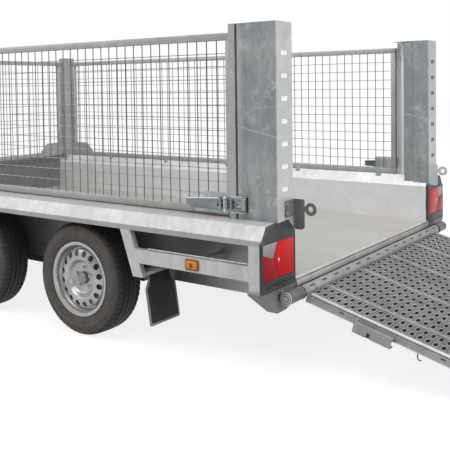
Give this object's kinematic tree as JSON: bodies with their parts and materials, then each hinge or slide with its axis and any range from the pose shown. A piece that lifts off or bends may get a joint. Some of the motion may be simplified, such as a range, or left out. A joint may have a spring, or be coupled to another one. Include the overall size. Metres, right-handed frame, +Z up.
{
  "type": "tandem axle equipment trailer",
  "caption": "Low galvanised equipment trailer on two close axles, with mesh sides between tall posts and a perforated rear loading ramp let down to the ground.",
  "frame": {"origin": "middle of the length and width, on the ground", "axes": "+X forwards to the coupling, +Y to the left side, +Z up"},
  "size_m": [6.7318, 2.394, 1.675],
  "materials": {
    "galvanised": "hot dip galvanised, mottled matt grey",
    "dark_galvanised": "dull dark grey galvanised",
    "bright_zinc": "bright zinc plated",
    "floor_board": "smooth pale grey coated board",
    "black_steel": "dark grey, satin",
    "flap_rubber": "black rubber with a plain pale border",
    "tyre_rubber": "dark brown grey tyre rubber",
    "wheel_silver": "silver painted steel",
    "red_lens": "glossy red lens with a clear wedge",
    "amber_lens": "glossy amber lens"
  },
  "bodies": {
    "trailer": {"chassis_frame": "galvanised", "side_beam_left": "galvanised", "side_beam_right": "galvanised", "front_board": "galvanised", "rear_post_left": "galvanised", "rear_post_right": "galvanised", "front_post_left": "galvanised", "front_post_right": "galvanised", "mesh_left": "galvanised", "mesh_right": "galvanised", "mesh_front": "galvanised", "hinge_rod": "galvanised", "under_rail_rear_left": "galvanised", "under_rail_rear_right": "galvanised", "under_rail_front_left": "galvanised", "under_rail_front_right": "galvanised", "drawbar": "galvanised", "axle_front": "galvanised", "axle_rear": "galvanised", "coupling_head": "galvanised", "jockey_post": "galvanised", "hinge_bracket_left": "dark_galvanised", "hinge_bracket_right": "dark_galvanised", "eye_plate_left": "dark_galvanised", "eye_plate_right": "dark_galvanised", "overrun_tube": "dark_galvanised", "toggle_latch_left": "bright_zinc", "toggle_latch_right": "bright_zinc", "bed_floor": "floor_board", "tail_plate_left": "black_steel", "tail_plate_right": "black_steel", "handbrake_lever": "black_steel", "mud_flap_left": "flap_rubber", "mud_flap_right": "flap_rubber", "tail_lamp_left": "red_lens", "tail_lamp_right": "red_lens", "marker_lamp_left": "amber_lens", "marker_lamp_right": "amber_lens"},
    "ramp": {"ramp_frame": "galvanised", "ramp_deck": "galvanised"},
    "jockey_fork": {"jockey_fork": "galvanised"},
    "jockey_wheel": {"jockey_wheel": "tyre_rubber"},
    "wheel_rear_left": {"rim_rear_left": "wheel_silver", "tyre_rear_left": "tyre_rubber"},
    "wheel_rear_right": {"rim_rear_right": "wheel_silver", "tyre_rear_right": "tyre_rubber"},
    "wheel_front_left": {"rim_front_left": "wheel_silver", "tyre_front_left": "tyre_rubber"},
    "wheel_front_right": {"rim_front_right": "wheel_silver", "tyre_front_right": "tyre_rubber"}
  },
  "joints": [
    {"name": "ramp_hinge", "type": "hinge", "parent": "trailer", "child": "ramp", "pos_m": [-1.89408, 0, 0.39], "axis": [0, 1, 0], "range_deg": [0, 104.2]},
    {"name": "wheel_rear_left_spin", "type": "hinge", "parent": "trailer", "child": "wheel_rear_left", "pos_m": [-0.60408, 1.0515, 0.317], "axis": [0, 1, 0], "continuous": true},
    {"name": "wheel_rear_right_spin", "type": "hinge", "parent": "trailer", "child": "wheel_rear_right", "pos_m": [-0.60408, -1.0515, 0.317], "axis": [0, 1, 0], "continuous": true},
    {"name": "wheel_front_left_spin", "type": "hinge", "parent": "trailer", "child": "wheel_front_left", "pos_m": [0.33592, 1.0515, 0.317], "axis": [0, 1, 0], "continuous": true},
    {"name": "wheel_front_right_spin", "type": "hinge", "parent": "trailer", "child": "wheel_front_right", "pos_m": [0.33592, -1.0515, 0.317], "axis": [0, 1, 0], "continuous": true},
    {"name": "jockey_swivel", "type": "hinge", "parent": "trailer", "child": "jockey_fork", "pos_m": [2.76592, -0.20362, 0.1], "axis": [0, 0, 1], "continuous": true},
    {"name": "jockey_wheel_spin", "type": "hinge", "parent": "jockey_fork", "child": "jockey_wheel", "pos_m": [2.72092, -0.20362, 0.1], "axis": [0, 1, 0], "continuous": true}
  ]
}
